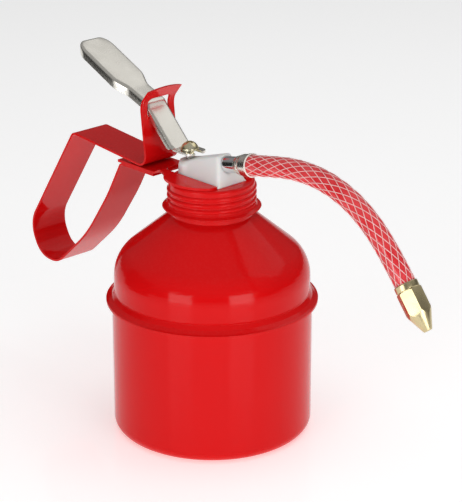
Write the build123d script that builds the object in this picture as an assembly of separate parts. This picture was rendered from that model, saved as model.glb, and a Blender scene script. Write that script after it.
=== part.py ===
"""Hand pump oil can with a red sheet steel body, a squeeze lever and a flexible spout.

Millimetres. The origin is the centre of the can's flat base, +Z is up and +X points along the spout.
One STEP file is written for each separate piece, in the place where it sits at rest.
"""
import math
import os

from build123d import *

# ---------------------------------------------------------------- clearances
running = 0.05               # round part turning or sliding in a hole, on the radius
slip = 0.1                   # part pushed through or over another, on the radius
free = 0.3                   # between faces of pieces that move past each other
press = 0.02                 # pressed or glued part, on the radius

# ---------------------------------------------------------------- can
can_radius = 45.0            # outside of the cup
cup_height = 61.5            # base to the top of the cup's flange
can_sheet = 0.5              # tinplate of the cup and of the shoulder
base_corner_radius = 4.8
base_bead_radius = 31.0      # middle of the ring pressed up into the base
base_bead_width = 3.0
base_bead_height = 0.8
seam_reach = 2.6             # how far the seam stands out of the cup
skirt_set_in = 1.0           # the shoulder's skirt is this much narrower than the cup
skirt_height = 11.1          # straight skirt, above the seam
seam_flare = 3.6             # height of the curve from the seam up to the skirt
shoulder_round = 17.1        # radius that rounds the skirt over
cone_angle = 50.0            # shoulder cone, from the vertical
neck_radius = 18.45          # outside of the neck between its threads
neck_length = 13.97          # straight neck above the cone

shoulder_radius = can_radius - skirt_set_in
skirt_top = cup_height + skirt_height
seam_radius = can_radius + seam_reach
turn = math.radians(cone_angle)
cone_low_radius = shoulder_radius - shoulder_round * (1 - math.cos(turn))
cone_low = skirt_top + shoulder_round * math.sin(turn)
neck_low = cone_low + (cone_low_radius - neck_radius) / math.tan(turn)
neck_top = neck_low + neck_length

# ---------------------------------------------------------------- cap
pitch = 2.75                 # rolled thread of the neck and the cap
thread_drop = 7.4            # first turn of the thread, below the neck's rim
neck_turns = 1.9
neck_bead = 0.5              # radius of the neck's rolled bead
cap_turns = 2.5
ridge_run_in = 0.6           # turns of the cap's bead below the first one, running out of the band
groove_run_in = 1.25         # turns of its groove below the first one, open to the band
cap_sheet = 0.4
cap_ridge = 1.05             # radius of the bead that stands out of the cap
cap_play = 0.4               # from the neck to the centre line of the cap's thread
cap_roof_sheet = 0.5
cap_edge_round = 1.2
cap_lip_reach = 2.3          # how far the lip stands out of the plain band
cap_lip_drop = 11.0          # lip, below the neck's rim
gasket_thickness = 1.0

thread_low = neck_top - thread_drop
thread_centre = neck_radius + cap_play
cap_roof = neck_top + gasket_thickness + slip
cap_top = cap_roof + cap_roof_sheet
cap_lip_height = neck_top - cap_lip_drop
cap_outside = thread_centre + cap_ridge - 0.75
cap_inside = cap_outside - cap_sheet
band_radius = thread_centre + cap_ridge - 0.2
band_top = thread_low - pitch / 2

# ---------------------------------------------------------------- base plate and handle
strap_width = 19.4
strap_sheet = 1.0
plate_sheet = 1.2
plate_round_radius = 19.6    # round front part of the base plate
plate_round_centre = -2.6
plate_front = 12.8           # ends of the plate's two prongs
tail_drop = 2.9              # how far the plate's tail lies below its round part
tail_end = -52.2
joggle_start = -21.5         # where the plate steps down, and where the step ends
joggle_end = -28.0
slot_end = -21.6             # closed end of the plate's slot
window_height = 8.8
upright_crown = 1.6          # rise of the curve of the upright's top edge

plate_top = cap_top + plate_sheet
tail_top = plate_top - tail_drop
tail_under = tail_top - plate_sheet

# ---------------------------------------------------------------- pump block and spout, heights above the cap's top
block_front = 13.4
block_half_width = 8.6
block_draft = 20.0           # lean of the block's sides, from the vertical
block_front_lean = 22.0
block_rear_height = 6.0      # height of the block's top where it begins to rise
block_slope = 18.5           # slope of the block's top
rear_centre = -9.5           # centre of the block's round rear
spigot_radius = 5.0          # round foot of the block that goes through the cap
spigot_length = 9.1
nut_across_flats = 16.0
nut_thickness = 4.5
chamber_radius = 2.3         # outlet valve's chamber
chamber_height = 8.0
port_above_cap = 2.0         # cross passage from the pump to the outlet valve
port_radius = 0.9
valve_hole = 0.9             # radius of both valve seats
spout_angle = 12.0           # rise of the spout from the horizontal
spout_point = (10.0, cap_top + 8.7)  # a point (x, z) on the spout's axis, at the block's front
spout_bore = 1.6
socket_radius = 3.0
socket_depth = 5.0
seat_depth = 0.3             # spot face round the nipple

# ---------------------------------------------------------------- pump
rod_x = -14.2                # pump axis
rod_diameter = 3.2
barrel_outside = 6.4
barrel_bore = 5.2
barrel_top = cap_top + 3.4
barrel_length = 37.0
piston_length = 4.0
piston_depth = 12.7          # top of the piston at rest, below the cap's top
suction_outside = 4.4
suction_bore = 3.0
suction_bottom = 6.0         # above the can's base
strainer_bottom = 2.6
ball_radius = 1.4
rod_seal_section = 1.0
foot_plug = 6.0

barrel_bottom = barrel_top - barrel_length
piston_rest_top = cap_top - piston_depth
port_height = cap_top + port_above_cap
chamber_top = cap_top + chamber_height
seal_groove_low = barrel_top + 0.6
rod_seal_radius = rod_diameter / 2 + rod_seal_section

# ---------------------------------------------------------------- lever, points (x, z)
lever_sheet = 1.0
channel_half_width = 5.8
pad_half_width = 9.0
tab_set_in = 0.4             # each side of the forked tab, from the channel's side
flange_depth = 3.6
pivot = (-35.2, cap_top + 21.6)      # where the lever rocks on the handle's window
pad_end = (-81.6, cap_top + 47.8)
pad_start = (-47.5, cap_top + 32.0)
bend_top = (-36.6, cap_top + 27.9)
bend_low = (-35.0, cap_top + 25.6)
channel_end = (-19.8, cap_top + 10.3)
tab_top = cap_top + 9.9
tab_end = -8.2
coupler_length = 2.75
washer_thickness = 0.8
washer_radius = 4.1
screw_shank = 1.2
head_radius = 3.9
head_height = 2.9

tab_half_width = channel_half_width - tab_set_in
washer_low = tab_top + free / 2
coupler_low = washer_low - coupler_length
coupler_radius = rod_diameter / 2 + free
window_half_width = channel_half_width + 2 * free
window_sill = pivot[1] - 0.2

# ---------------------------------------------------------------- hose and nozzle
hose_diameter = 9.0
hose_bore = 4.0
sleeve_wall = 0.4
nozzle_socket = 5.0
nozzle_wall = 0.6            # round the hose
nozzle_length = 21.2
nozzle_hexagon_end = 12.4
nozzle_tip = 3.5
nozzle_bore = 1.6
nipple_radius = 3.65
hose_start = 9.6             # distances along the spout's axis, from the spout point
sleeve_end = 16.0

hose_socket = hose_diameter / 2 + running
nozzle_collar = 2 * (hose_socket + nozzle_wall)
nozzle_across_flats = nozzle_collar - 0.5


# ---------------------------------------------------------------- helpers
def cylinder(radius, low, high, x=0.0, y=0.0):
    """A vertical cylinder from one height to another."""
    return Pos(x, y, (low + high) / 2) * Cylinder(radius, high - low)


def ring(outer, inner, low, high, x=0.0, y=0.0):
    return cylinder(outer, low, high, x, y) - cylinder(inner, low - 1, high + 1, x, y)


def box(x0, x1, half_width, z0, z1):
    """A box that is symmetrical about the plane of the spout."""
    return Pos((x0 + x1) / 2, 0, (z0 + z1) / 2) * Box(x1 - x0, 2 * half_width, z1 - z0)


def turned(points):
    """A solid of revolution about Z from an outline of (radius, height) points."""
    outline = Polyline(*[(r, 0, z) for r, z in points], close=True)
    return revolve(make_face(outline), Axis.Z)


def side_plate(points, half_width):
    """A prism across the spout's plane, from an outline of (x, z) points."""
    outline = Polyline(*[(x, 0, z) for x, z in points], close=True)
    return extrude(make_face(outline), amount=half_width, both=True)


def along(point, angle):
    """A frame whose Z axis lies in the spout's plane, at an angle above +X."""
    x, z = point
    direction = (math.cos(math.radians(angle)), 0, math.sin(math.radians(angle)))
    return Plane(origin=(x, 0, z), x_dir=(0, 1, 0), z_dir=direction)


def on_axis(frame, outline):
    """A solid turned about a frame's Z axis from (radius, distance) points."""
    return frame.location * turned(outline)


def thread(radius, first, last, centre):
    """A round bead that climbs round the neck or the cap, from one turn to another."""
    path = Helix(pitch, pitch * (last - first), centre, center=(0, 0, thread_low + pitch * first))
    start = Plane(origin=path @ 0, z_dir=path % 0)
    bead = sweep(start * Circle(radius), path=path, is_frenet=True)
    return Rot(0, 0, 360 * first) * bead


def spring(mean_radius, wire_radius, low, high, turns, x=0.0):
    """A coil spring whose end turns are ground flat."""
    bottom = low + wire_radius * 0.3
    rise = high - low - 2 * wire_radius * 0.3
    path = Helix(rise / turns, rise, mean_radius, center=(0, 0, bottom))
    start = Plane(origin=path @ 0, z_dir=path % 0)
    coil = sweep(start * Circle(wire_radius), path=path, is_frenet=True)
    return Pos(x, 0, 0) * (coil & cylinder(mean_radius + 2 * wire_radius, low, high))


# ---------------------------------------------------------------- can body
def make_can_cup():
    """Drawn cup with a flat base, a stiffening ring and a flange for the seam."""
    corner = base_corner_radius
    arc = [
        (can_radius - corner + corner * math.sin(math.radians(a)), corner - corner * math.cos(math.radians(a)))
        for a in range(0, 91, 15)
    ]
    outer = arc + [
        (can_radius, cup_height - can_sheet),
        (seam_radius - can_sheet, cup_height - can_sheet),
        (seam_radius - can_sheet, cup_height),
        (can_radius - can_sheet, cup_height),
    ]
    inner = [
        (can_radius - corner + (corner - can_sheet) * math.sin(math.radians(a)),
         corner - (corner - can_sheet) * math.cos(math.radians(a)))
        for a in range(90, -1, -15)
    ]
    half = base_bead_width / 2
    bead_top = [
        (base_bead_radius + half, can_sheet),
        (base_bead_radius + half - can_sheet, can_sheet + base_bead_height),
        (base_bead_radius - half + can_sheet, can_sheet + base_bead_height),
        (base_bead_radius - half, can_sheet),
        (0, can_sheet),
    ]
    bead_under = [
        (0, 0),
        (base_bead_radius - half, 0),
        (base_bead_radius - half + can_sheet, base_bead_height),
        (base_bead_radius + half - can_sheet, base_bead_height),
        (base_bead_radius + half, 0),
    ]
    return turned(bead_under + outer + inner + bead_top)


def shoulder_outline(offset):
    """Skirt, rounding and cone of the shoulder, moved in by an offset."""
    points = []
    for step in range(13):
        angle = turn * step / 12
        radius = shoulder_radius - shoulder_round * (1 - math.cos(angle)) - offset * math.cos(angle)
        height = skirt_top + shoulder_round * math.sin(angle) - offset * math.sin(angle)
        points.append((radius, height))
    return points


def cone_height(radius, offset):
    """Height at which the cone has a radius."""
    last_radius, last_height = shoulder_outline(offset)[-1]
    return last_height + (last_radius - radius) / math.tan(turn)


def make_can_shoulder():
    """Shoulder with its flared seam, cone and threaded neck."""
    neck_inside = neck_radius - can_sheet
    flare = seam_flare
    flare_outside = [
        (seam_radius, cup_height + can_sheet),
        (seam_radius - 1.1, cup_height + can_sheet + 0.45),
        (shoulder_radius + 1.0, cup_height + can_sheet + 1.6),
        (shoulder_radius + 0.1, cup_height + can_sheet + flare - 0.6),
        (shoulder_radius - 0.25, cup_height + can_sheet + flare),
        (shoulder_radius, cup_height + can_sheet + flare + 0.8),
    ]
    flare_inside = [
        (shoulder_radius - can_sheet, cup_height + can_sheet + flare + 0.8),
        (shoulder_radius - 0.25 - can_sheet, cup_height + can_sheet + flare),
        (shoulder_radius + 0.1 - can_sheet, cup_height + can_sheet + flare - 0.8),
        (can_radius - can_sheet, cup_height + can_sheet * 1.6),
        (can_radius - can_sheet, cup_height),
    ]
    hem_underside = [
        (seam_radius - can_sheet, cup_height),
        (seam_radius - can_sheet, cup_height - can_sheet),
        (seam_radius, cup_height - can_sheet),
    ]
    outside = shoulder_outline(0) + [(neck_radius, cone_height(neck_radius, 0)), (neck_radius, neck_top)]
    inside = [(neck_inside, neck_top), (neck_inside, cone_height(neck_inside, can_sheet))]
    inside += list(reversed(shoulder_outline(can_sheet)))
    shell = turned(hem_underside + flare_outside + outside + inside + flare_inside)
    return shell + thread(neck_bead, 0, neck_turns, neck_inside + neck_bead + 0.1)


# ---------------------------------------------------------------- cap and its liner
def make_cap_gasket():
    inner = barrel_outside / 2 - rod_x + free
    return ring(neck_radius - slip, inner, neck_top, neck_top + gasket_thickness)


def make_screw_cap():
    """Thin screw cap with a rolled thread, a plain band and a flared lip."""
    r, t, e = cap_outside, cap_sheet, cap_edge_round
    band = band_radius
    lip = cap_lip_height
    reach = band + cap_lip_reach
    top_edge = [
        (r - e + e * math.sin(math.radians(a)), cap_top - e + e * math.cos(math.radians(a)))
        for a in range(0, 91, 15)
    ]
    under_edge = [(cap_inside, cap_roof - 0.3), (cap_inside - 0.3, cap_roof)]
    skirt_outside = [
        (r, band_top + 0.6), (band, band_top - 0.2), (band, lip + 1.9),
        (band + 0.5, lip + 1.1), (reach - 0.3, lip + 0.55), (reach, lip + 0.3), (reach - 0.2, lip),
    ]
    skirt_inside = [
        (band + 0.3, lip + 0.3), (band - t, lip + 1.5), (band - t, band_top - 0.4), (cap_inside, band_top + 0.4),
    ]
    shell = turned([(0, cap_top)] + top_edge + skirt_outside + skirt_inside + under_edge + [(0, cap_roof)])
    shell += thread(cap_ridge, -ridge_run_in, cap_turns, thread_centre)
    shell -= thread(cap_ridge - cap_sheet, -groove_run_in, cap_turns, thread_centre)
    shell -= cylinder(cap_inside + 0.02, lip - 1, cap_roof - 0.35)
    shell -= cylinder(spigot_radius + slip, cap_roof - 1, cap_top + 1)
    shell -= cylinder(barrel_outside / 2 + slip, cap_roof - 1, cap_top + 1, rod_x)
    return shell


# ---------------------------------------------------------------- base plate and handle
def make_base_plate():
    """Fork plate: round and slotted on the cap, stepped down behind it to a straight tail."""
    level = side_plate(
        [
            (plate_front, cap_top), (plate_front, plate_top),
            (joggle_start, plate_top), (joggle_end, tail_top), (tail_end, tail_top),
            (tail_end, tail_under), (joggle_end - 0.1, tail_under), (joggle_start - 0.1, cap_top),
        ],
        2 * plate_round_radius,
    )
    half = strap_width / 2
    flare_x = plate_round_centre - plate_round_radius * math.cos(math.radians(42))
    flare_y = plate_round_radius * math.sin(math.radians(42))
    low, high = tail_top - 3, plate_top + 1
    outline = cylinder(plate_round_radius, low, high, plate_round_centre)
    outline += box(tail_end, plate_round_centre, half, low, high)
    wedge = Polyline(
        (plate_round_centre, -flare_y, low), (flare_x, -flare_y, low), (joggle_start - 3.5, -half, low),
        (joggle_start - 3.5, half, low), (flare_x, flare_y, low), (plate_round_centre, flare_y, low), close=True,
    )
    outline += extrude(make_face(wedge), amount=high - low)
    plate = level & outline
    corner = block_half_width + free
    slot = box(slot_end, plate_front + 10, corner, low, high)
    slot = fillet(slot.edges().filter_by(Axis.Z).group_by(Axis.X)[0], 3.0)
    return plate - slot


# the strap's middle line, as (x, z), and the radius of each bend
strap_route = [
    (-28.0, tail_under - strap_sheet / 2), (-50.4, tail_under - strap_sheet / 2),
    (-60.0, cap_top - 21.1), (-76.0, cap_top - 44.6), (-98.6, cap_top - 65.0), (-111.5, cap_top - 64.4),
    (-118.8, cap_top - 49.8), (-84.1, cap_top + 3.6), (-32.7, tail_top + strap_sheet / 2 + 0.05),
    (-35.9, cap_top + 27.6), (-29.1, cap_top + 36.0),
]
strap_bends = [2.2, 100.0, 80.0, 12.0, 11.0, 14.0, 3.5, 4.5, 8.0]


def make_handle_strap():
    """One steel strap: tail, finger loop and upright with the lever's window."""
    route = FilletPolyline(*[(x, z) for x, z in strap_route], radius=strap_bends)
    flat = trace(route, line_width=strap_sheet)
    strap = extrude(Plane.XZ * flat, amount=strap_width / 2, both=True)
    window = box(pivot[0] - 7, pivot[0] + 7, window_half_width, window_sill, window_sill + window_height)
    window = fillet(window.edges().filter_by(Axis.X).group_by(Axis.Z)[0], 1.2)
    window = fillet(window.edges().filter_by(Axis.X).group_by(Axis.Z)[-1], 2.0)
    strap -= window
    half = strap_width / 2 + 1
    crown_low = strap_route[-1][1] - upright_crown - 0.2
    crown_radius = (half ** 2 + upright_crown ** 2) / (2 * upright_crown)
    cut = Pos(-25, 0, crown_low + 10) * Box(22, 2 * half, 20)
    round_top = Rot(0, 90, 0) * Cylinder(crown_radius, 40)
    cut -= Pos(-25, 0, crown_low + upright_crown - crown_radius) * round_top
    return strap - cut


# ---------------------------------------------------------------- pump block and spout passage
spigot_bottom = cap_top - spigot_length
valve_top = port_height + 1.6        # seat of the outlet ball


def make_pump_block():
    """White moulded block with leaning sides, a sloping top and a leaning front."""
    rear_radius = block_half_width
    low, height = cap_top, 20.0
    plan = Pos(0, 0, low) * (
        Pos((block_front - rear_centre) / 2 + rear_centre, 0) * Rectangle(block_front - rear_centre, 2 * rear_radius)
        + Pos(rear_centre, 0) * Circle(rear_radius)
    )
    body = extrude(plan, amount=height, taper=block_draft)
    # the taper leans the front and the rear too: give the rear back its upright wall
    upright = extrude(Pos(0, 0, low) * Pos(rear_centre, 0) * Circle(rear_radius - 0.3), amount=block_rear_height - 0.4)
    body += upright & box(-40, rear_centre, 20, low, low + 30)
    lean = math.tan(math.radians(block_front_lean))
    body &= side_plate([(-40, low), (block_front, low), (block_front - lean * 30, low + 30), (-40, low + 30)], 20)
    start = rear_centre - 3.5
    rise = math.tan(math.radians(block_slope))
    body &= side_plate(
        [(-40, low), (40, low), (40, low + block_rear_height + rise * (40 - start)),
         (start, low + block_rear_height), (-40, low + block_rear_height)], 20)
    body += cylinder(spigot_radius, spigot_bottom, low + 0.5)
    body -= cylinder(barrel_outside / 2 + press, low - 1, barrel_top, rod_x)
    body -= cylinder(rod_diameter / 2 + slip, barrel_top - 1, low + 20, rod_x)
    body -= cylinder(rod_seal_radius, seal_groove_low, seal_groove_low + 1.4, rod_x)
    body -= cylinder(chamber_radius, spigot_bottom - 1, chamber_top)
    passage = Pos(rod_x / 2, 0, port_height) * Rot(0, 90, 0) * Cylinder(port_radius, -rod_x)
    body -= passage
    axis = along(spout_point, spout_angle)
    body -= on_axis(axis, [(0, -12), (spout_bore, -12), (spout_bore, -1), (0, -1)])
    body -= on_axis(axis, [(0, -socket_depth), (socket_radius, -socket_depth), (socket_radius, 12), (0, 12)])
    body -= on_axis(axis, [(0, -seat_depth), (nipple_radius + 0.3, -seat_depth), (nipple_radius + 0.3, 12), (0, 12)])
    return body


def make_rod_seal():
    """Square rubber ring round the rod, in the block."""
    outer = rod_seal_radius - running
    return ring(outer, rod_diameter / 2 + running, seal_groove_low + 0.1, seal_groove_low + 1.3, rod_x)


def make_block_lock_nut():
    """Nut under the cap's roof that holds the block down."""
    hexagon = RegularPolygon(nut_across_flats / 2, 6, major_radius=False)
    nut = extrude(Pos(0, 0, cap_roof - nut_thickness) * hexagon, amount=nut_thickness)
    return nut - cylinder(spigot_radius, cap_roof - nut_thickness - 1, cap_roof + 1)


def make_outlet_seat():
    """Plug in the spigot with the outlet valve's seat and its cross passage."""
    plug = cylinder(chamber_radius, spigot_bottom, valve_top)
    plug -= cylinder(valve_hole, port_height - port_radius, valve_top + 1)
    cross = Pos(-chamber_radius / 2, 0, port_height) * Rot(0, 90, 0) * Cylinder(port_radius, chamber_radius + 0.4)
    return plug - cross


ball_seat = math.sqrt(ball_radius ** 2 - valve_hole ** 2) + 0.02   # a ball's centre above its seat
outlet_ball_height = valve_top + ball_seat


def make_outlet_ball():
    return Pos(0, 0, outlet_ball_height) * Sphere(ball_radius)


def make_outlet_spring():
    return spring(1.2, 0.15, outlet_ball_height + ball_radius + 0.03, chamber_top, 3)


# ---------------------------------------------------------------- pump
def make_pump_barrel():
    tube = ring(barrel_outside / 2, barrel_bore / 2, barrel_bottom, barrel_top, rod_x)
    port = Pos(rod_x + barrel_outside / 2, 0, port_height) * Rot(0, 90, 0) * Cylinder(port_radius, 3)
    return tube - port


inlet_seat_height = barrel_bottom + 2.0
inlet_ball_height = inlet_seat_height + ball_seat


def make_barrel_foot():
    """Plug in the barrel's lower end with the inlet valve's seat and the tube's nipple."""
    body = cylinder(barrel_bore / 2, barrel_bottom, barrel_bottom + foot_plug, rod_x)
    body += cylinder(barrel_outside / 2, barrel_bottom - 1.5, barrel_bottom, rod_x)
    body += cylinder(suction_bore / 2, barrel_bottom - 7.5, barrel_bottom - 1.5, rod_x)
    body -= cylinder(valve_hole, barrel_bottom - 8, inlet_seat_height, rod_x)
    return body - cylinder(ball_radius + 0.35, inlet_seat_height, barrel_bottom + foot_plug + 1, rod_x)


def make_inlet_ball():
    return Pos(rod_x, 0, inlet_ball_height) * Sphere(ball_radius)


def make_suction_tube():
    return ring(suction_outside / 2, suction_bore / 2, suction_bottom, barrel_bottom - 1.5, rod_x)


def make_strainer():
    """Brass cup with slots on the lower end of the suction tube."""
    inner = suction_outside / 2
    cup = cylinder(inner + 0.5, strainer_bottom, suction_bottom + 4, rod_x)
    cup -= cylinder(inner, suction_bottom, suction_bottom + 5, rod_x)
    cup -= cylinder(suction_bore / 2, strainer_bottom + 0.5, suction_bottom + 1, rod_x)
    for angle in (0, 60, 120):
        slit = Pos(rod_x, 0, strainer_bottom + 1.9) * Rot(0, 0, angle) * Box(2 * inner + 4, 0.7, 1.6)
        cup -= slit
    return cup


def make_piston():
    """Piston on the rod's end, with a groove for its ring."""
    low = piston_rest_top - piston_length
    body = cylinder(barrel_bore / 2 - slip, low, piston_rest_top, rod_x)
    body -= ring(barrel_bore, barrel_bore / 2 - 0.7, low + 1.2, low + 2.8, rod_x)
    return body - cylinder(rod_diameter / 2 - 0.6, low - 1, piston_rest_top + 1, rod_x)


def make_piston_seal():
    low = piston_rest_top - piston_length
    return ring(barrel_bore / 2 - press, barrel_bore / 2 - 0.7, low + 1.2, low + 2.8, rod_x)


def make_piston_rod():
    """Rod from the piston up through the block into the coupler."""
    low = piston_rest_top - piston_length
    rod = cylinder(rod_diameter / 2 - 0.6, low, piston_rest_top, rod_x)
    rod += cylinder(rod_diameter / 2, piston_rest_top, coupler_low + 1.0, rod_x)
    return rod


def make_rod_coupler():
    """Barrel nut that joins the rod to the lever's screw."""
    body = cylinder(coupler_radius, coupler_low, washer_low, rod_x)
    body = chamfer(body.edges().filter_by(GeomType.CIRCLE), 0.15)
    body -= cylinder(rod_diameter / 2, coupler_low - 1, coupler_low + 1.0, rod_x)
    return body - cylinder(screw_shank, coupler_low + 1.2, washer_low + 1, rod_x)


def make_lever_washer():
    return ring(washer_radius, screw_shank + slip, washer_low, washer_low + washer_thickness, rod_x)


def make_lever_screw():
    """Pan head screw with a cross recess."""
    base = washer_low + washer_thickness
    dome_radius = (head_radius ** 2 + head_height ** 2) / (2 * head_height)
    dome = Pos(rod_x, 0, base + head_height - dome_radius) * Sphere(dome_radius)
    head = dome & cylinder(head_radius, base, base + head_height + 1, rod_x)
    shank = cylinder(screw_shank, coupler_low + 1.4, base + 0.5, rod_x)
    recess = Pos(rod_x, 0, base + head_height) * (Box(3.8, 0.8, 2.2) + Box(0.8, 3.8, 2.2))
    return head + shank - recess


def make_return_spring():
    middle = (rod_diameter / 2 + barrel_bore / 2) / 2
    return spring(middle, 0.25, piston_rest_top + 0.02, barrel_top - 0.02, 8, rod_x)


# ---------------------------------------------------------------- lever
def lever_prism(drop_top, drop_bottom, half_width):
    """The lever's side view between two drops measured down from its top line."""
    line = [pad_end, pad_start, bend_top, bend_low, channel_end]
    upper = [(x, z - drop_top) for x, z in line]
    lower = [(x, z - drop_bottom) for x, z in reversed(line)]
    return side_plate(upper + lower, half_width)


def lever_plan(inset):
    """Plan outline of the lever, drawn in by an inset, as a tall prism."""
    pad, neck = pad_half_width - inset, channel_half_width - inset
    corner = 5.0
    left = pad_end[0] + inset
    points = [
        (left, pad - corner), (left + 1.1, pad - corner + 3.2), (left + corner - 0.6, pad - 0.4),
        (left + corner + 1.8, pad), (pad_start[0] - 9.0, pad), (pad_start[0] - 7.2, pad - 0.4),
        (pad_start[0] - 2.2, neck + 0.35), (pad_start[0] + 0.6, neck), (channel_end[0] + 0.01, neck),
    ]
    mirrored = [(x, -y) for x, y in reversed(points)]
    outline = Polyline(*[(x, y, tab_top - 20) for x, y in points + mirrored], close=True)
    return extrude(make_face(outline), amount=70)


def make_lever():
    """Pressed steel lever: thumb pad, neck, channel and forked end."""
    upright_depth = flange_depth / math.cos(math.radians(35))
    shell = lever_prism(0, upright_depth, pad_half_width + 1) & lever_plan(0)
    sheet_drop = lever_sheet / math.cos(math.radians(30))
    hollow = lever_prism(sheet_drop, upright_depth + 9, pad_half_width + 1) & lever_plan(lever_sheet)
    shell -= hollow
    tab = box(channel_end[0] - 0.6, tab_end, tab_half_width, tab_top - lever_sheet, tab_top)
    tab = chamfer(tab.edges().filter_by(Axis.Z).group_by(Axis.X)[-1], 2.6)
    shell -= box(channel_end[0] - 6, channel_end[0] + 5, 20, tab_top - 20, tab_top - lever_sheet)
    lever = shell + tab
    slot_closed = rod_x - coupler_radius - 2.8 - 0.1
    lever -= box(slot_closed, tab_end + 5, coupler_radius + free, tab_top - 5, tab_top + 0.01)
    # notch in both flanges where the lever rocks on the window's sill
    room = strap_sheet / 2 + 2 * free
    return lever - box(pivot[0] - room - 0.2, pivot[0] + room, 20, pivot[1] - 6, window_sill + free + 0.1)


# ---------------------------------------------------------------- spout
spout_frame = along(spout_point, spout_angle)


def make_spout_nipple():
    """Plated nipple: stub in the block, body, and a barb inside the hose."""
    stub = socket_radius - press
    barb = hose_bore / 2 - running
    points = [
        (barb / 2, -socket_depth), (stub, -socket_depth), (stub, -seat_depth),
        (nipple_radius - 0.15, -seat_depth), (nipple_radius, 0.2), (nipple_radius, hose_start - 1.2),
        (barb, hose_start - 0.2), (barb, hose_start + 4.5), (barb / 2, hose_start + 4.5),
    ]
    return on_axis(spout_frame, points)


def make_hose_sleeve():
    """Crimped sleeve that flares over the hose and ends in a rolled rim."""
    inner, wall, back = hose_socket, sleeve_wall, nipple_radius + press
    points = [
        (back, hose_start - 2.2), (back + 0.35, hose_start - 2.2), (back + 0.5, hose_start - 0.8),
        (inner + wall, hose_start + 2.0), (inner + wall, sleeve_end - 1.0), (inner + wall + 0.35, sleeve_end - 0.8),
        (inner + wall + 0.35, sleeve_end), (inner, sleeve_end), (inner, hose_start - 0.02), (back, hose_start - 0.02),
    ]
    return on_axis(spout_frame, points)


hose_first = spout_frame.origin + spout_frame.z_dir * hose_start
hose_route = [
    (hose_first.X, hose_first.Z), (36.5, cap_top + 14.33), (54.0, cap_top + 17.0), (72.5, cap_top + 15.4),
    (90.2, cap_top + 8.1), (105.6, cap_top - 5.4), (117.6, cap_top - 20.7),
]


def hose_path_length(route, radii):
    """Length of straight runs joined by tangent arcs."""
    total = sum(math.dist(a, b) for a, b in zip(route, route[1:]))
    for (a, b, c), radius in zip(zip(route, route[1:], route[2:]), radii):
        half = turn_at(a, b, c) / 2
        total -= 2 * radius * math.tan(half) - 2 * radius * half
    return total


def turn_at(a, b, c):
    first = math.atan2(b[1] - a[1], b[0] - a[0])
    second = math.atan2(c[1] - b[1], c[0] - b[0])
    return abs(second - first)


def hose_radii(route):
    radii = []
    for a, b, c in zip(route, route[1:], route[2:]):
        shorter = min(math.dist(a, b), math.dist(b, c))
        radii.append(0.45 * shorter / math.tan(turn_at(a, b, c) / 2))
    return radii


def make_spout_hose():
    radii = hose_radii(hose_route)
    print("hose radii, mm:", [round(r, 1) for r in radii])
    path = FilletPolyline(*[(x, 0, z) for x, z in hose_route], radius=radii)
    start = Plane(origin=path @ 0, z_dir=path % 0)
    section = start * (Circle(hose_diameter / 2) - Circle(hose_bore / 2))
    hose = sweep(section, path=path)
    length = hose_path_length(hose_route, radii)
    area = math.pi * (hose_diameter ** 2 - hose_bore ** 2) / 4
    print("hose length, mm:", round(length, 1), "volume against section times length:",
          round(hose.volume / (area * length), 4))
    return hose


def make_nozzle():
    """Brass nozzle: collar over the hose, hexagon and cone."""
    (x0, z0), (x1, z1) = hose_route[-2:]
    angle = math.degrees(math.atan2(z1 - z0, x1 - x0))
    frame = along((x1, z1), angle)
    back, front = -nozzle_socket, nozzle_length - nozzle_socket
    cone_start = back + nozzle_hexagon_end
    corner = nozzle_across_flats / math.sqrt(3)
    collar = on_axis(frame, [
        (0, back), (nozzle_collar / 2 - 0.3, back), (nozzle_collar / 2, back + 0.3),
        (nozzle_collar / 2, back + 2.7), (nozzle_collar / 2 - 0.3, back + 3.0), (0, back + 3.0),
    ])
    six = Pos(0, 0, back + 3.0) * RegularPolygon(nozzle_across_flats / 2, 6, major_radius=False)
    hexagon = frame.location * extrude(six, amount=front - back - 3.0)
    envelope = on_axis(frame, [
        (0, back + 2.9), (corner - 0.5, back + 2.9), (corner, back + 3.5), (corner, cone_start),
        (nozzle_tip / 2 + 0.3, front - 0.5), (nozzle_tip / 2, front), (0, front),
    ])
    body = collar + (hexagon & envelope)
    body -= on_axis(frame, [(0, back - 1), (hose_socket, back - 1), (hose_socket, 0.02), (0, 0.02)])
    bore = nozzle_bore / 2
    return body - on_axis(frame, [(0, -1), (bore, -1), (bore, front + 1), (0, front + 1)])


# ---------------------------------------------------------------- write the pieces
pieces = {
    "can_cup": make_can_cup,
    "can_shoulder": make_can_shoulder,
    "cap_gasket": make_cap_gasket,
    "screw_cap": make_screw_cap,
    "base_plate": make_base_plate,
    "handle_strap": make_handle_strap,
    "pump_block": make_pump_block,
    "rod_seal": make_rod_seal,
    "block_lock_nut": make_block_lock_nut,
    "outlet_seat": make_outlet_seat,
    "outlet_ball": make_outlet_ball,
    "outlet_spring": make_outlet_spring,
    "pump_barrel": make_pump_barrel,
    "barrel_foot": make_barrel_foot,
    "inlet_ball": make_inlet_ball,
    "suction_tube": make_suction_tube,
    "strainer": make_strainer,
    "piston": make_piston,
    "piston_seal": make_piston_seal,
    "piston_rod": make_piston_rod,
    "rod_coupler": make_rod_coupler,
    "lever_washer": make_lever_washer,
    "lever_screw": make_lever_screw,
    "return_spring": make_return_spring,
    "lever": make_lever,
    "spout_nipple": make_spout_nipple,
    "hose_sleeve": make_hose_sleeve,
    "spout_hose": make_spout_hose,
    "nozzle": make_nozzle,
}

os.makedirs("parts", exist_ok=True)
for name, make in pieces.items():
    export_step(make(), os.path.join("parts", name + ".step"))
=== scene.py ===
"""Looks of a pump oil can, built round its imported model."""
import math

import bmesh
import bpy
from mathutils import Matrix, Vector


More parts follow.
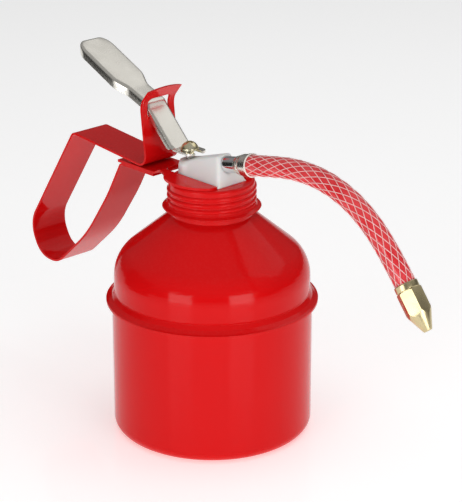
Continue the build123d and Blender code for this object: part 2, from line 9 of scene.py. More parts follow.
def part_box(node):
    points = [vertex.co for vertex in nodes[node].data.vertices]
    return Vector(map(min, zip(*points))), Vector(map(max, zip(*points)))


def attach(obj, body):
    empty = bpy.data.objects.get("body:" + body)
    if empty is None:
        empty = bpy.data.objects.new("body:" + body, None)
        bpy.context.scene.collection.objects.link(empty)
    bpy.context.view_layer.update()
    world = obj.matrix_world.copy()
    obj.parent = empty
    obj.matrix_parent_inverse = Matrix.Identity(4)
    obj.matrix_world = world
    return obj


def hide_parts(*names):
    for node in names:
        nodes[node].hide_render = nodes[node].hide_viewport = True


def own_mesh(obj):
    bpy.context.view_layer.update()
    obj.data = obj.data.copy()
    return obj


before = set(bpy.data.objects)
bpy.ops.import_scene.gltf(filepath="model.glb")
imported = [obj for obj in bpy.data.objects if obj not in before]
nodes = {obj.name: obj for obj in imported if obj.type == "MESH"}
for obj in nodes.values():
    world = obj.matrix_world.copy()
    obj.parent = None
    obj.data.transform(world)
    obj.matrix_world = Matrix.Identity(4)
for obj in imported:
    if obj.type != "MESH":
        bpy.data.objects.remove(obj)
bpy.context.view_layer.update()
scene = bpy.context.scene

MM = 0.001                                   # a millimetre in the frame's metres
CAP_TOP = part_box("screw_cap")[1].z / MM      # height of the cap's top, in mm


def placed(name, data):
    """A new object in the scene."""
    piece = bpy.data.objects.new(name, data)
    scene.collection.objects.link(piece)
    return piece


# ------------------------------------------------------------------ camera
CAMERA_TURN = 47.0              # degrees from the can's front towards the spout
CAMERA_RISE = 20.989            # degrees that the camera looks down
CAMERA_SIDE = 0.5772            # degrees that it looks to the right of the can's axis
CAMERA_DISTANCE = 0.9           # metres from the point that it was turned about
CAMERA_AIM = 0.08316            # height of that point on the can's axis, in metres
CAMERA_LENS, CAMERA_FILM = 144.72, 36.0      # mm


def make_camera():
    """The camera stands in front of the can, turned towards the spout's side, a little above it."""
    rise, side = math.radians(CAMERA_RISE), math.radians(CAMERA_SIDE)
    spin = Matrix.Rotation(math.radians(CAMERA_TURN), 3, "Z")
    data = bpy.data.cameras.new("camera")
    data.lens = CAMERA_LENS
    data.sensor_width = CAMERA_FILM
    data.clip_start, data.clip_end = 0.05, 20.0
    camera = placed("camera", data)
    back, up = CAMERA_DISTANCE * math.cos(rise), CAMERA_DISTANCE * math.sin(rise)
    camera.location = spin @ Vector((0, -back, CAMERA_AIM + up))
    look = spin @ Vector((math.sin(side) * math.cos(rise), math.cos(side) * math.cos(rise), -math.sin(rise)))
    camera.rotation_mode = "QUATERNION"
    camera.rotation_quaternion = look.to_track_quat("-Z", "Y")
    scene.camera = camera


make_camera()


# ------------------------------------------------------------------ node helpers
def add(tree, kind, inputs=None, **settings):
    """A node with its settings, whose inputs are given as values or as sockets to link."""
    node = tree.nodes.new(kind)
    for key, value in settings.items():
        setattr(node, key, value)
    for key, value in (inputs or {}).items():
        if isinstance(value, bpy.types.NodeSocket):
            tree.links.new(value, node.inputs[key])
        else:
            node.inputs[key].default_value = value
    return node


def number(tree, operation, *values):
    """Arithmetic on numbers or on sockets."""
    return add(tree, "ShaderNodeMath", dict(enumerate(values)), operation=operation).outputs[0]


def vector(tree, operation, *values, output=0, **named):
    """Arithmetic on vectors; an input that isn't a vector is given by its name."""
    node = add(tree, "ShaderNodeVectorMath", {**dict(enumerate(values)), **named}, operation=operation)
    return node.outputs[output]


def remap(tree, value, low=0.0, high=1.0, to_low=0.0, to_high=1.0):
    """A value carried from one span to another and held within it."""
    return add(tree, "ShaderNodeMapRange", {"Value": value, "From Min": low, "From Max": high,
                                            "To Min": to_low, "To Max": to_high}).outputs[0]


def blend(tree, mask, first, second):
    """The first colour where the mask is 0, the second where it is 1."""
    return add(tree, "ShaderNodeMix", {0: mask, 6: first, 7: second}, data_type="RGBA").outputs[2]


def own_place(tree):
    """Where a point of the surface lies on its piece."""
    return add(tree, "ShaderNodeTexCoord").outputs["Object"]


def noise(tree, scale, detail, place=None):
    """Noise that is fixed to the piece."""
    if place is None:
        place = own_place(tree)
    return add(tree, "ShaderNodeTexNoise", {"Vector": place, "Scale": scale, "Detail": detail}).outputs["Fac"]


# ------------------------------------------------------------------ shader groups
def new_group(name, inputs, outputs):
    """An empty shader group with named inputs (name, kind, value) and outputs (name, kind)."""
    group = bpy.data.node_groups.new(name, "ShaderNodeTree")
    for label, kind, value in inputs:
        group.interface.new_socket(label, in_out="INPUT", socket_type=kind).default_value = value
    for label, kind in outputs:
        group.interface.new_socket(label, in_out="OUTPUT", socket_type=kind)
    return group, group.nodes.new("NodeGroupInput").outputs, group.nodes.new("NodeGroupOutput").inputs


FLOAT, COLOUR, VECTOR = "NodeSocketFloat", "NodeSocketColor", "NodeSocketVector"


def make_mottle_group():
    """Soft blotches between two colours, with the blotches as a mask."""
    group, given, out = new_group(
        "mottle",
        [("Colour", COLOUR, (1, 1, 1, 1)), ("Second Colour", COLOUR, (0, 0, 0, 1)),
         ("Scale", FLOAT, 60.0), ("Contrast", FLOAT, 0.5)],
        [("Colour", COLOUR), ("Mask", FLOAT)],
    )
    low = number(group, "SUBTRACT", 0.5, given["Contrast"])
    high = number(group, "ADD", 0.5, given["Contrast"])
    mask = remap(group, noise(group, given["Scale"], 4.0), low, high)
    group.links.new(blend(group, mask, given["Colour"], given["Second Colour"]), out["Colour"])
    group.links.new(mask, out["Mask"])
    return group


def make_grain_group():
    """Fine relief of a surface: peel of a paint, grain of a plating or tool marks along one axis."""
    group, given, out = new_group(
        "surface_grain",
        [("Scale", FLOAT, 900.0), ("Stretch", VECTOR, (1, 1, 1)), ("Detail", FLOAT, 2.0)],
        [("Height", FLOAT)],
    )
    stretched = vector(group, "MULTIPLY", own_place(group), given["Stretch"])
    group.links.new(noise(group, given["Scale"], given["Detail"], stretched), out["Height"])
    return group


def make_edge_group():
    """Where an edge is, broken up as rubbing and painted highlight, and the normal of the edge taken a little
    round.
    """
    group, given, out = new_group(
        "worn_edge",
        [("Radius", FLOAT, 0.0003), ("Wear", FLOAT, 0.5), ("Scale", FLOAT, 400.0)],
        [("Mask", FLOAT), ("Normal", VECTOR)],
    )
    rounded = add(group, "ShaderNodeBevel", {"Radius": given["Radius"]}, samples=4).outputs["Normal"]
    sharp = add(group, "ShaderNodeNewGeometry").outputs["Normal"]
    # edges made paler: rubbing on metal, and on the enamel partly painted highlight
    edge = remap(group, vector(group, "DOT_PRODUCT", rounded, sharp, output="Value"), 0.995, 0.8)
    breaks = remap(group, noise(group, given["Scale"], 3.0), 0.35, 0.65)
    worn_and_highlit = number(group, "MULTIPLY", edge, breaks)
    group.links.new(number(group, "MULTIPLY", worn_and_highlit, given["Wear"]), out["Mask"])
    group.links.new(rounded, out["Normal"])
    return group


def make_dust_group():
    """Thin dust that settles on what faces up."""
    group, given, out = new_group(
        "settled_dust",
        [("Amount", FLOAT, 0.1), ("Scale", FLOAT, 900.0)],
        [("Mask", FLOAT)],
    )
    normal = add(group, "ShaderNodeNewGeometry").outputs["Normal"]
    up = remap(group, add(group, "ShaderNodeSeparateXYZ", {0: normal}).outputs["Z"], 0.3)
    specks = remap(group, noise(group, given["Scale"], 5.0), 0.45, 0.75)
    lying = number(group, "MULTIPLY", up, specks)
    group.links.new(number(group, "MULTIPLY", lying, given["Amount"]), out["Mask"])
    return group


MOTTLE, GRAIN, EDGE, DUST = make_mottle_group(), make_grain_group(), make_edge_group(), make_dust_group()


# ------------------------------------------------------------------ materials
DUST_COLOUR = (0.75, 0.72, 0.68, 1)


def use(tree, group, **inputs):
    """A group placed in a material; an underscore in an input's name stands for a space."""
    node = tree.nodes.new("ShaderNodeGroup")
    node.node_tree = group
    for key, value in inputs.items():
        node.inputs[key.replace("_", " ")].default_value = value
    return node.outputs


def finish_material(name, colour, second, roughness, *, mottle_scale=60.0, contrast=0.25, rough_spread=0.06,
                    grain_scale=900.0, stretch=(1, 1, 1), grain_depth=0.00001, edge_radius=0.00025,
                    wear=0.0, worn_colour=(0.8, 0.8, 0.8), dust=0.04, **sockets):
    """A finish with blotches, uneven gloss, fine relief, paler edges for rubbing and painted highlight, and a
    little dust.
    """
    material = bpy.data.materials.new(name)
    material.use_nodes = True
    tree = material.node_tree
    shader = tree.nodes["Principled BSDF"]
    for label, value in sockets.items():
        shader.inputs[label.replace("_", " ")].default_value = value
    blotches = use(tree, MOTTLE, Colour=(*colour, 1), Second_Colour=(*second, 1), Scale=mottle_scale,
                   Contrast=contrast)
    edges = use(tree, EDGE, Radius=edge_radius, Wear=wear)
    powder = use(tree, DUST, Amount=dust)
    # paler colour along the edges: rubbing, and on the enamel partly painted highlight
    worn_and_highlit = blend(tree, edges["Mask"], blotches["Colour"], (*worn_colour, 1))
    tree.links.new(blend(tree, powder["Mask"], worn_and_highlit, DUST_COLOUR), shader.inputs["Base Color"])
    half = rough_spread / 2
    gloss = remap(tree, blotches["Mask"], to_low=roughness - half, to_high=roughness + half)
    tree.links.new(gloss, shader.inputs["Roughness"])
    grain = use(tree, GRAIN, Scale=grain_scale, Stretch=stretch)
    relief = add(tree, "ShaderNodeBump", {"Height": grain["Height"], "Normal": edges["Normal"],
                                          "Distance": grain_depth})
    tree.links.new(relief.outputs["Normal"], shader.inputs["Normal"])
    return material


# the enamel's paler edges are partly thin paint and partly painted highlight
ENAMEL = dict(mottle_scale=25.0, contrast=0.3, rough_spread=0.05, grain_scale=650.0, grain_depth=0.000012,
              wear=0.3, worn_colour=(0.85, 0.22, 0.18), dust=0.012, Specular_IOR_Level=0.15)
red_enamel = finish_material("red_enamel", (0.70, 0.0042, 0.0052), (0.675, 0.0038, 0.0047), 0.11, **ENAMEL)
nickel = finish_material("nickel_plate", (0.86, 0.83, 0.76), (0.79, 0.76, 0.69), 0.26, mottle_scale=90.0,
                         grain_scale=1400.0, grain_depth=0.000015, wear=0.25, Metallic=1.0)
nylon = finish_material("white_nylon", (0.87, 0.87, 0.85), (0.83, 0.83, 0.82), 0.42, mottle_scale=70.0,
                        grain_scale=1100.0, Subsurface_Weight=0.15, Subsurface_Scale=0.002)
yellow_zinc = finish_material("yellow_zinc", (0.86, 0.74, 0.42), (0.84, 0.80, 0.60), 0.22, mottle_scale=260.0,
                              contrast=0.15, grain_scale=1500.0, wear=0.3, Metallic=1.0)
bright_zinc = finish_material("bright_zinc", (0.80, 0.80, 0.81), (0.68, 0.68, 0.70), 0.12, mottle_scale=120.0,
                              grain_scale=1500.0, grain_depth=0.000006, Metallic=1.0)
spring_steel = finish_material("spring_steel", (0.42, 0.41, 0.40), (0.33, 0.32, 0.31), 0.30,
                               mottle_scale=300.0, Metallic=1.0)
brass = finish_material("brass", (0.66, 0.56, 0.33), (0.60, 0.50, 0.28), 0.28, mottle_scale=180.0,
                        grain_scale=700.0, stretch=(1.0, 0.2, 1.4), grain_depth=0.000008, wear=0.5,
                        worn_colour=(0.80, 0.73, 0.52), Metallic=1.0)
rubber = finish_material("black_rubber", (0.02, 0.02, 0.02), (0.035, 0.034, 0.033), 0.6, mottle_scale=300.0)
suction_plastic = finish_material("suction_plastic", (0.72, 0.74, 0.72), (0.66, 0.68, 0.66), 0.35,
                                  mottle_scale=200.0)
hose_red = finish_material("red_hose", (0.72, 0.02, 0.028), (0.84, 0.07, 0.08), 0.12, mottle_scale=140.0,
                           contrast=0.2, grain_scale=500.0, dust=0.0, Subsurface_Weight=0.25,
                           Subsurface_Scale=0.003, Sheen_Weight=0.5, Sheen_Roughness=0.25)
braid_thread = finish_material("braid_thread", (0.88, 0.50, 0.49), (0.93, 0.66, 0.64), 0.45,
                               mottle_scale=500.0, grain_scale=3000.0, dust=0.0, edge_radius=0.00005)
rim_plastic = finish_material("rim_plastic", (0.90, 0.87, 0.80), (0.82, 0.76, 0.70), 0.35, mottle_scale=300.0)


# ------------------------------------------------------------------ pieces: helpers
def new_piece(name, mesh, body, slot, material, *replaced):
    """A finished mesh as a piece that rides on a body and may stand for CAD nodes."""
    piece = placed(name, mesh)
    mesh.materials.clear()
    mesh.materials.append(material)
    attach(piece, body)
    if replaced:
        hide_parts(*replaced)
    return piece


def evaluated_copy(piece):
    """The piece's mesh with its modifiers carried out; the piece itself is removed."""
    bpy.context.view_layer.update()
    graph = bpy.context.evaluated_depsgraph_get()
    mesh = bpy.data.meshes.new_from_object(piece.evaluated_get(graph))
    mesh.name = piece.name
    bpy.data.objects.remove(piece)
    return mesh


JOINED, FLAT = 0.002, 0.6       # mm between points that are one, degrees between faces that are one


def merged_copy(node):
    """A copy of a CAD node's mesh with its points joined and its flat faces whole."""
    mesh = nodes[node].data.copy()
    shape = bmesh.new()
    shape.from_mesh(mesh)
    bmesh.ops.remove_doubles(shape, verts=shape.verts, dist=JOINED * MM)
    bmesh.ops.dissolve_limit(shape, angle_limit=math.radians(FLAT), verts=shape.verts, edges=shape.edges)
    shape.to_mesh(mesh)
    shape.free()
    return mesh


def add_bevel(piece, width, angle):
    """Breaks the edges that are sharper than the angle."""
    bevel = piece.modifiers.new("soft_edges", "BEVEL")
    bevel.width = width * MM
    bevel.segments = 2
    bevel.limit_method = "ANGLE"
    bevel.angle_limit = math.radians(angle)
    bevel.harden_normals = True


def shade_smooth(mesh, angle):
    """Smooth shading, but for the edges that are sharper than the angle."""
    mesh.polygons.foreach_set("use_smooth", [True] * len(mesh.polygons))
    mesh.set_sharp_from_angle(angle=math.radians(angle))


def softened(node, slot, material, width, angle=35.0):
    """The shape of a CAD node on the head, its edges broken as pressing, plating and paint leave them."""
    mesh = merged_copy(node)
    shade_smooth(mesh, angle)
    piece = new_piece(node + "_finished", mesh, "head", slot, material, node)
    add_bevel(piece, width, angle)
    return piece


# ------------------------------------------------------------------ spout and hose
SPOUT_X, SPOUT_HEIGHT, SPOUT_ANGLE = 10.0, CAP_TOP + 8.7, math.radians(12.0)
SPOUT_AXIS = Vector((math.cos(SPOUT_ANGLE), 0, math.sin(SPOUT_ANGLE)))
HOSE_START, SLEEVE_END = 9.6, 16.0           # along the spout's axis, in mm
NOZZLE_SOCKET = 5.0                          # how deep the hose sits in the nozzle
HOSE_DIAMETER = 9.0
HOSE_LENGTH = 112.4
ROUTE = [                                    # the points that draw the hose's middle line, forward and up
    (SPOUT_X + HOSE_START * math.cos(SPOUT_ANGLE), SPOUT_HEIGHT + HOSE_START * math.sin(SPOUT_ANGLE)),
    (36.5, CAP_TOP + 14.33), (54.0, CAP_TOP + 17.0), (72.5, CAP_TOP + 15.4),
    (90.2, CAP_TOP + 8.1), (105.6, CAP_TOP - 5.4), (117.6, CAP_TOP - 20.7),
]


def route_curve(name, thickness):
    """A curve along the hose's route, with a round section if it has a thickness."""
    curve = bpy.data.curves.new(name, "CURVE")
    curve.dimensions = "3D"
    spline = curve.splines.new("NURBS")
    spline.points.add(len(ROUTE) - 1)
    for point, (x, z) in zip(spline.points, ROUTE):
        point.co = (x * MM, 0, z * MM, 1)
    spline.order_u = 3
    spline.use_endpoint_u = True
    spline.resolution_u = 16
    curve.bevel_depth = thickness * MM / 2
    curve.bevel_resolution = 10
    curve.use_fill_caps = True
    return placed(name, curve)


def make_hose():
    """The hose from the nipple's shoulder to the bottom of the nozzle's socket, and its nozzle."""
    nozzle = softened("nozzle", "brass", brass, 0.18, 25.0)
    hose = route_curve("hose", HOSE_DIAMETER)
    hose.data.materials.append(hose_red)
    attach(hose, "head")
    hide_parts("spout_hose")


def braid_tree():
    """Geometry nodes that wind crossed threads round a route."""
    tree = bpy.data.node_groups.new("hose_braid", "GeometryNodeTree")
    face = tree.interface
    for label, kind in (("Geometry", "Geometry"), ("Route", "Object"), ("Material", "Material"),
                        ("Threads", "Int"), ("Steps", "Int")):
        face.new_socket(label, in_out="INPUT", socket_type="NodeSocket" + kind)
    for label in ("Radius", "Thread Radius", "Lead", "Start", "End", "Weave"):
        face.new_socket(label, in_out="INPUT", socket_type="NodeSocketFloat")
    face.new_socket("Geometry", in_out="OUTPUT", socket_type="NodeSocketGeometry")
    given = add(tree, "NodeGroupInput").outputs
    out = add(tree, "NodeGroupOutput").inputs

    def times(first, second):
        return number(tree, "MULTIPLY", first, second)

    route = add(tree, "GeometryNodeObjectInfo", {"Object": given["Route"]}).outputs["Geometry"]
    length = add(tree, "GeometryNodeCurveLength", {"Curve": route}).outputs[0]
    line = add(tree, "GeometryNodeCurvePrimitiveLine").outputs["Curve"]
    fine_line = add(tree, "GeometryNodeResampleCurve", {"Curve": line, "Count": given["Steps"]}).outputs[0]
    copies = add(tree, "GeometryNodeDuplicateElements", {"Geometry": fine_line, "Amount": given["Threads"]},
                 domain="SPLINE")
    share = add(tree, "GeometryNodeSplineParameter").outputs["Factor"]
    wound = number(tree, "SUBTRACT", given["End"], given["Start"])
    distance = number(tree, "ADD", given["Start"], times(wound, share))
    spot = add(tree, "GeometryNodeSampleCurve",
               {"Curves": route, "Factor": number(tree, "DIVIDE", distance, length)}, mode="FACTOR")
    upward = vector(tree, "CROSS_PRODUCT", spot.outputs["Tangent"], (0, 1, 0))
    first = number(tree, "DIVIDE", times(copies.outputs["Duplicate Index"], 2 * math.pi), given["Threads"])
    climb = number(tree, "DIVIDE", times(distance, 2 * math.pi), given["Lead"])
    wave = number(tree, "COSINE", times(climb, given["Threads"]))
    both = add(tree, "GeometryNodeJoinGeometry")
    for way in (1.0, -1.0):
        angle = number(tree, "ADD", first, times(climb, way))
        reach = number(tree, "ADD", given["Radius"], times(times(wave, given["Weave"]), way))
        side = add(tree, "ShaderNodeCombineXYZ", {1: times(reach, number(tree, "COSINE", angle))}).outputs[0]
        rise = vector(tree, "SCALE", upward, Scale=times(reach, number(tree, "SINE", angle)))
        place = vector(tree, "ADD", vector(tree, "ADD", spot.outputs["Position"], side), rise)
        family = add(tree, "GeometryNodeSetPosition",
                     {"Geometry": copies.outputs["Geometry"], "Position": place})
        tree.links.new(family.outputs[0], both.inputs[0])
    section = add(tree, "GeometryNodeCurvePrimitiveCircle",
                  {"Resolution": 6, "Radius": given["Thread Radius"]})
    threads = add(tree, "GeometryNodeCurveToMesh",
                  {"Curve": both.outputs[0], "Profile Curve": section.outputs["Curve"], "Fill Caps": True})
    real = add(tree, "GeometryNodeRealizeInstances", {"Geometry": threads.outputs[0]})
    painted = add(tree, "GeometryNodeSetMaterial",
                  {"Geometry": real.outputs[0], "Material": given["Material"]})
    tree.links.new(painted.outputs[0], out["Geometry"])
    return tree


def set_inputs(modifier, **values):
    """Gives a modifier's named inputs their values through the sockets' identifiers."""
    sockets = {item.name: item.identifier for item in modifier.node_group.interface.items_tree
               if item.item_type == "SOCKET" and item.in_out == "INPUT"}
    for key, value in values.items():
        modifier[sockets[key.replace("_", " ")]] = value


BRAID_THREADS = 10                           # of each hand
THREAD_RADIUS, THREAD_SUNK = 0.175, 0.03     # mm; the threads lie a little in the wall
BRAID_LEAD, BRAID_WEAVE = 70.0, 0.07         # mm that one turn takes, and mm in and out at each crossing


def make_braid():
    """The hose's crossed threads, from the sleeve to the nozzle's collar."""
    route = route_curve("braid_route", 0)
    carrier = placed("braid", bpy.data.meshes.new("braid"))
    modifier = carrier.modifiers.new("braid", "NODES")
    modifier.node_group = braid_tree()
    set_inputs(modifier, Route=route, Material=braid_thread, Threads=BRAID_THREADS, Steps=100,
               Radius=(HOSE_DIAMETER / 2 - THREAD_SUNK) * MM, Thread_Radius=THREAD_RADIUS * MM,
               Lead=BRAID_LEAD * MM, Start=(SLEEVE_END - HOSE_START) * MM,
               End=(HOSE_LENGTH - NOZZLE_SOCKET) * MM, Weave=BRAID_WEAVE * MM)
    mesh = evaluated_copy(carrier)
    bpy.data.objects.remove(route)
    shade_smooth(mesh, 80.0)
    new_piece("hose_braid", mesh, "head", "red_hose", braid_thread)


def ring_mesh(name, outline, origin, axis, steps=64):
    """A closed ring turned about an axis from an outline of (radius, distance) points, in mm."""
    shape = bmesh.new()
    turn = axis.to_track_quat("Z", "Y").to_matrix()
    rows = []
    for step in range(steps):
        angle = 2 * math.pi * step / steps
        points = [Vector((r * math.cos(angle), r * math.sin(angle), d)) for r, d in outline]
        rows.append([shape.verts.new(origin + turn @ point * MM) for point in points])
    count = len(outline)
    for step in range(steps):
        here, there = rows[step], rows[(step + 1) % steps]
        for i in range(count):
            j = (i + 1) % count
            shape.faces.new((here[i], here[j], there[j], there[i]))
    bmesh.ops.recalc_face_normals(shape, faces=shape.faces)
    mesh = bpy.data.meshes.new(name)
    shape.to_mesh(mesh)
    shape.free()
    shade_smooth(mesh, 60.0)
    return mesh


RIM_BEAD, RIM_REACH = 0.36, 0.42             # radius of the bead, and its middle's height above the hose


def make_sleeve_rim():
    """The pale end of the hose's outer wall, rolled over the sleeve's edge."""
    origin = Vector((SPOUT_X * MM, 0, SPOUT_HEIGHT * MM)) + SPOUT_AXIS * SLEEVE_END * MM
    outline = [(HOSE_DIAMETER / 2 + RIM_REACH + RIM_BEAD * math.cos(a), RIM_BEAD * math.sin(a))
               for a in (math.radians(30 * k) for k in range(12))]
    mesh = ring_mesh("sleeve_rim", outline, origin, SPOUT_AXIS)
    new_piece("sleeve_rim", mesh, "head", "red_hose", rim_plastic)


# ------------------------------------------------------------------ lever
# mm along the can's middle plane, towards the spout, and heights above the cap's top
LEVER_LINE = [
    (-81.6, 47.8), (-47.5, 32.0), (-36.6, 27.9), (-35.0, 25.6), (-19.8, 10.3), (-19.3, 9.9), (-8.2, 9.9),
]
LEVER_END, TAB_END, TAB_TOP = -81.6, -8.2, 9.9
PAD_HALF, CHANNEL_HALF, TAB_HALF, SLOT_HALF = 9.0, 5.8, 5.4, 2.2         # half widths
PAD_CORNER, PAD_CORNER_SIDE = 6.8, 5.0       # the pad's corners are longer than they are wide
TAB_CORNER = 2.6
SHOULDERS, SHOULDER_REACH = -56.5, 9.6       # where the pad begins to narrow, and over what length
CHANNEL_END, SLOT_CLOSED = -19.8, -19.0      # where the channel ends, and where the fork's slot does
FLANGE, LEVER_SHEET, BEND_RADIUS = 4.4, 1.0, 1.5
FLANGE_FADE = 1.3                            # mm of flange for each mm that the lever lies above the tab
NOTCH = (-36.5, -34.1, 21.8)                 # where the flanges clear the window's sill
STEP = (-40.0, -32.0)                        # the tight step at the sill
STEP_REACH, BEND_REACH = 0.55, 1.4           # how far the step and the other bends are spread
OUTLINE_SPANS = [                            # from, to, number of points
    (-74.8, -57.0, 8), (-57.0, -46.0, 16), (-46.0, -38.2, 6), (-38.2, -33.4, 24),
    (-33.4, -22.0, 8), (-22.0, -18.2, 12), (-18.2, -10.8, 5),
]


def on_line(x):
    """Height of the lever's middle line before its bends are rounded."""
    for (x0, z0), (x1, z1) in zip(LEVER_LINE, LEVER_LINE[1:]):
        if x <= x1:
            return z0 + (z1 - z0) * (x - x0) / (x1 - x0)
    return LEVER_LINE[-1][1]


def lever_top(x):
    """Height of the lever's top, its bends rounded by taking the mean over a short reach."""
    reach = STEP_REACH if STEP[0] < x < STEP[1] else BEND_REACH
    return sum(on_line(x + reach * k / 4) for k in range(-4, 5)) / 9


def flange_depth(x):
    """How far the flange reaches down: nothing at the tab, little over the sill."""
    depth = min(FLANGE, max(0.0, FLANGE_FADE * (lever_top(x) - TAB_TOP)))
    if NOTCH[0] < x < NOTCH[1]:
        depth = min(depth, lever_top(x) - NOTCH[2])
    return depth


def corner_width(distance, length, width):
    """How much of a rounded corner's width is reached at a distance from where the corner begins."""
    return width * math.sqrt(max(0.0, 1 - (distance / length) ** 2))


def lever_half_width(x):
    """Half the lever's width: rounded pad, shoulders, channel and tab."""
    if x < LEVER_END + PAD_CORNER:
        return PAD_HALF - PAD_CORNER_SIDE + corner_width(
            LEVER_END + PAD_CORNER - x, PAD_CORNER, PAD_CORNER_SIDE)
    if x < SHOULDERS:
        return PAD_HALF
    if x < SHOULDERS + SHOULDER_REACH:
        t = (x - SHOULDERS) / SHOULDER_REACH
        return PAD_HALF - (PAD_HALF - CHANNEL_HALF) * t * t * (3 - 2 * t)
    if x < CHANNEL_END:
        return CHANNEL_HALF
    if x < TAB_END - TAB_CORNER:
        return TAB_HALF
    return TAB_HALF - TAB_CORNER + corner_width(x - TAB_END + TAB_CORNER, TAB_CORNER, TAB_CORNER)


def lever_outline():
    """Half the lever's plan outline, from the middle of the pad's end to the tab's end."""
    xs = [LEVER_END + PAD_CORNER * (1 - math.cos(math.radians(a))) for a in range(0, 91, 9)]
    xs += [a + (b - a) * k / n for a, b, n in OUTLINE_SPANS for k in range(1, n + 1)]
    xs += [TAB_END - TAB_CORNER + TAB_CORNER * math.sin(math.radians(a)) for a in range(15, 91, 15)]
    xs = sorted(set([round(x, 4) for x in xs] + [SLOT_CLOSED]))
    points = [(LEVER_END, 0.0), (LEVER_END, SLOT_HALF)]
    points += [(x, lever_half_width(x)) for x in xs]
    return points + [(TAB_END, SLOT_HALF)]


def outward(points, i):
    """Unit normal of the outline at a point, away from the lever; its two ends are straight across."""
    if i <= 2:
        return -1.0, 0.0
    if i >= len(points) - 2:
        return 1.0, 0.0
    (x0, y0), (x1, y1) = points[i - 1], points[i + 1]
    dx, dy = x1 - x0, y1 - y0
    size = math.hypot(dx, dy)
    return -dy / size, dx / size


LEVER_JOINED = 0.01             # mm between points of the lever that are one
NO_SIZE = 1e-9                  # metres


def make_lever():
    """Pressed lever: a thumb pad with turned-down flanges, an S neck, a channel and a forked tab."""
    points = lever_outline()
    shape = bmesh.new()
    angles = [math.radians(a) for a in (0, 22, 45, 67, 90)]
    profile = [(0.0, FLANGE), (0.0, (FLANGE + BEND_RADIUS) / 2)]
    profile += [(BEND_RADIUS * (1 - math.cos(a)), BEND_RADIUS * (1 - math.sin(a))) for a in angles]
    for side in (1, -1):
        rows = []
        for i, (x, y) in enumerate(points):
            nx, ny = outward(points, i)
            depth = flange_depth(x)
            row = []
            for inset, drop in profile:
                px, py = x - inset * nx, y - inset * ny
                z = lever_top(px) - min(drop, depth) + CAP_TOP
                row.append(shape.verts.new((px * MM, side * py * MM, z * MM)))
            px, height = row[-1].co.x, row[-1].co.z
            for py in (SLOT_HALF, 0.0):
                row.append(shape.verts.new((px, side * py * MM, height)))
            rows.append(row)
        last = len(profile) - 1
        for (x, _), a, b in zip(points[1:], rows, rows[1:]):
            for j in range(last + 2):
                if j == last + 1 and x > SLOT_CLOSED + LEVER_JOINED:
                    continue                             # the slot is open here
                if (a[j].co - b[j].co).length < NO_SIZE and (a[j + 1].co - b[j + 1].co).length < NO_SIZE:
                    continue
                corners = (a[j], b[j], b[j + 1], a[j + 1])
                shape.faces.new(corners if side > 0 else corners[::-1])
    bmesh.ops.remove_doubles(shape, verts=shape.verts, dist=LEVER_JOINED * MM)
    bmesh.ops.dissolve_degenerate(shape, edges=shape.edges, dist=LEVER_JOINED / 2 * MM)
    loose = [v for v in shape.verts if not v.link_faces]
    bmesh.ops.delete(shape, geom=loose, context="VERTS")
    bmesh.ops.recalc_face_normals(shape, faces=shape.faces)
    top = max(shape.faces, key=lambda f: f.calc_area())
    if top.normal.z < 0:
        bmesh.ops.reverse_faces(shape, faces=shape.faces)
    mesh = bpy.data.meshes.new("lever_pressed")
    shape.to_mesh(mesh)
    shape.free()
    shade_smooth(mesh, 50.0)
    piece = placed("lever_blank", mesh)
    sheet = piece.modifiers.new("sheet", "SOLIDIFY")
    sheet.thickness = LEVER_SHEET * MM
    sheet.offset = -1
    add_bevel(piece, 0.14, 50.0)
    mesh = evaluated_copy(piece)
    new_piece("lever_pressed", mesh, "lever", "nickel_plate", nickel, "lever")


# ------------------------------------------------------------------ block
ROD_X = -14.2
BLOCK_SKIN, BLOCK_PASSES = 0.42, 26          # mm between the skin's points, and how often they are smoothed
KEPT_FOOT, KEPT_SPOUT, KEPT_ROD = 0.35, 4.1, 2.3         # mm above the cap and round the two bores


def make_block():
    """Moulded block: its edges are melted round, but its foot, bores and spot face stay as they are."""
    blank = placed("block_blank", merged_copy("pump_block"))
    remesh = blank.modifiers.new("skin", "REMESH")
    remesh.mode = "VOXEL"
    remesh.voxel_size = BLOCK_SKIN * MM
    mesh = evaluated_copy(blank)
    shape = bmesh.new()
    shape.from_mesh(mesh)
    start = Vector((SPOUT_X, 0, SPOUT_HEIGHT))

    def stays(vert):
        p = vert.co / MM
        off_spout = ((p - start) - SPOUT_AXIS * (p - start).dot(SPOUT_AXIS)).length
        off_rod = math.hypot(p.x - ROD_X, p.y)
        return p.z < CAP_TOP + KEPT_FOOT or off_spout < KEPT_SPOUT or off_rod < KEPT_ROD

    melting = [v for v in shape.verts if not stays(v)]
    for _ in range(BLOCK_PASSES):
        bmesh.ops.smooth_vert(shape, verts=melting, factor=0.5,
                              use_axis_x=True, use_axis_y=True, use_axis_z=True)
    shape.to_mesh(mesh)
    shape.free()
    shade_smooth(mesh, 60.0)
    new_piece("block_moulded", mesh, "head", "white_nylon", nylon, "pump_block")


# ------------------------------------------------------------------ springs
# the spring, the joint that presses it, and that joint's travel in mm
SPRINGS = (("return_spring", "piston_lift", 7.7), ("outlet_spring", "outlet_lift", 0.6))


def make_springs():
    """Coil springs, each a smooth-shaded copy of its CAD node, riding on the head."""
    for node, joint, travel in SPRINGS:
        mesh = merged_copy(node)
        shade_smooth(mesh, 60.0)
        coil = new_piece(node + "_coil", mesh, "head", "spring_steel", spring_steel, node)
        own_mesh(coil)


# ------------------------------------------------------------------ room and light
def lamp(name, place, aim, width, height, power, seen=True):
    """A soft box; one that isn't seen lights the can without showing in its gloss."""
    data = bpy.data.lights.new(name, "AREA")
    data.shape = "RECTANGLE"
    data.size, data.size_y = width, height
    data.energy = power
    piece = placed(name, data)
    piece.location = place
    piece.rotation_mode = "QUATERNION"
    piece.rotation_quaternion = (Vector(aim) - Vector(place)).to_track_quat("-Z", "Y")
    piece.visible_glossy = seen


def round_camera(turn, distance, height):
    """A place round the can, its turn counted in degrees from the camera's side."""
    a = math.radians(CAMERA_TURN + turn)
    return (distance * math.sin(a), -distance * math.cos(a), height)


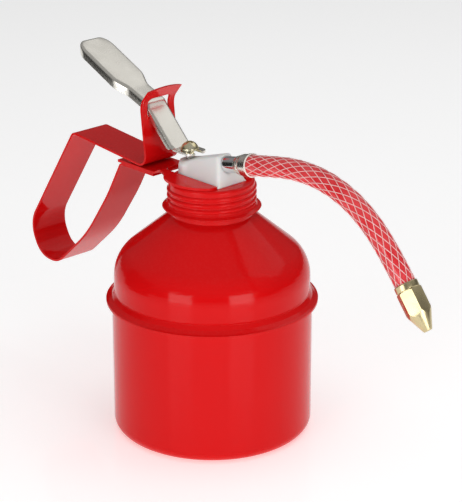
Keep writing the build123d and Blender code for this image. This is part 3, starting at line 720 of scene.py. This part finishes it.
def card(name, corners, colour, roughness, **sockets):
    """A flat four-cornered thing of the room in a plain material."""
    mesh = bpy.data.meshes.new(name)
    mesh.from_pydata([tuple(c) for c in corners], [], [(0, 1, 2, 3)])
    material = bpy.data.materials.new(name + "_paper")
    material.use_nodes = True
    shader = material.node_tree.nodes["Principled BSDF"]
    shader.inputs["Base Color"].default_value = (colour, colour, colour, 1)
    shader.inputs["Roughness"].default_value = roughness
    for label, value in sockets.items():
        shader.inputs[label.replace("_", " ")].default_value = value
    mesh.materials.append(material)
    return placed(name, mesh)


FLOOR_HALF = 6.0                # metres


def make_room():
    """Pale glossy floor that glows a little, a world that brightens with height, and soft boxes."""
    corners = [(x * FLOOR_HALF, y * FLOOR_HALF, 0) for x, y in ((-1, -1), (1, -1), (1, 1), (-1, 1))]
    floor = card("floor", corners, 0.97, 0.12, Emission_Color=(1, 1, 1, 1), Emission_Strength=0.42)
    floor.location.z = -0.0001
    world = bpy.data.worlds.new("studio")
    scene.world = world
    world.use_nodes = True
    sky = world.node_tree
    place = add(sky, "ShaderNodeTexCoord").outputs["Generated"]
    height = add(sky, "ShaderNodeSeparateXYZ", {0: place}).outputs["Z"]
    sky.nodes["Background"].inputs["Color"].default_value = (1, 1, 1, 1)
    sky.links.new(remap(sky, height, 0.1, 0.7, 0.06, 0.36), sky.nodes["Background"].inputs["Strength"])
    centre = (0, 0, 0.09)
    lamp("left_box", round_camera(-36, 0.95, 0.2), centre, 0.46, 0.40, 2.2)
    lamp("right_box", round_camera(33, 0.95, 0.2), centre, 0.46, 0.40, 2.4)
    lamp("back_box", round_camera(124, 0.75, 0.98), (-0.03, 0, 0.14), 1.3, 0.75, 1.6)
    lamp("fill_box", round_camera(0, 1.1, 0.5), centre, 0.8, 0.6, 0.7, seen=False)
    lamp("top_box", (0, 0, 1.3), centre, 1.4, 1.4, 4.2, seen=False)


FLAG_TURN, FLAG_DISTANCE, FLAG_HALF, FLAG_TOP = -94, 0.42, 0.16, 0.26    # degrees, then metres


def make_flag():
    """A black card beside the can, seen only in gloss, as a studio sets one to draw dark edges on metal."""
    side, up = Vector(round_camera(FLAG_TURN, 1.0, 0)), Vector((0, 0, 1))
    across = up.cross(side)
    middle = side * FLAG_DISTANCE
    corners = [middle - across * FLAG_HALF, middle + across * FLAG_HALF]
    corners += [c + up * FLAG_TOP for c in reversed(corners)]
    flag = card("black_flag", corners, 0.01, 0.9)
    flag.visible_camera = flag.visible_diffuse = flag.visible_shadow = False


# ------------------------------------------------------------------ the whole can
def make_can():
    """Gives each CAD node its finish, or makes the piece that stands for it."""
    plain_nodes = {
        red_enamel: ["can_cup", "can_shoulder", "screw_cap"],
        nickel: ["hose_sleeve"],
        suction_plastic: ["suction_tube"],
        yellow_zinc: ["rod_coupler", "lever_washer", "lever_screw"],
        bright_zinc: ["spout_nipple", "block_lock_nut", "pump_barrel", "piston_rod", "outlet_ball",
                      "inlet_ball"],
        brass: ["barrel_foot", "strainer", "outlet_seat", "piston"],
        rubber: ["cap_gasket", "rod_seal", "piston_seal"],
    }
    for material, names in plain_nodes.items():
        for name in names:
            nodes[name].data.materials.clear()
            nodes[name].data.materials.append(material)
    softened("base_plate", "red_enamel", red_enamel, 0.3)
    softened("handle_strap", "red_enamel", red_enamel, 0.28)
    make_block()
    make_lever()
    make_springs()
    make_hose()
    make_braid()
    make_sleeve_rim()


make_can()
make_room()
make_flag()
scene.view_settings.view_transform = "Standard"
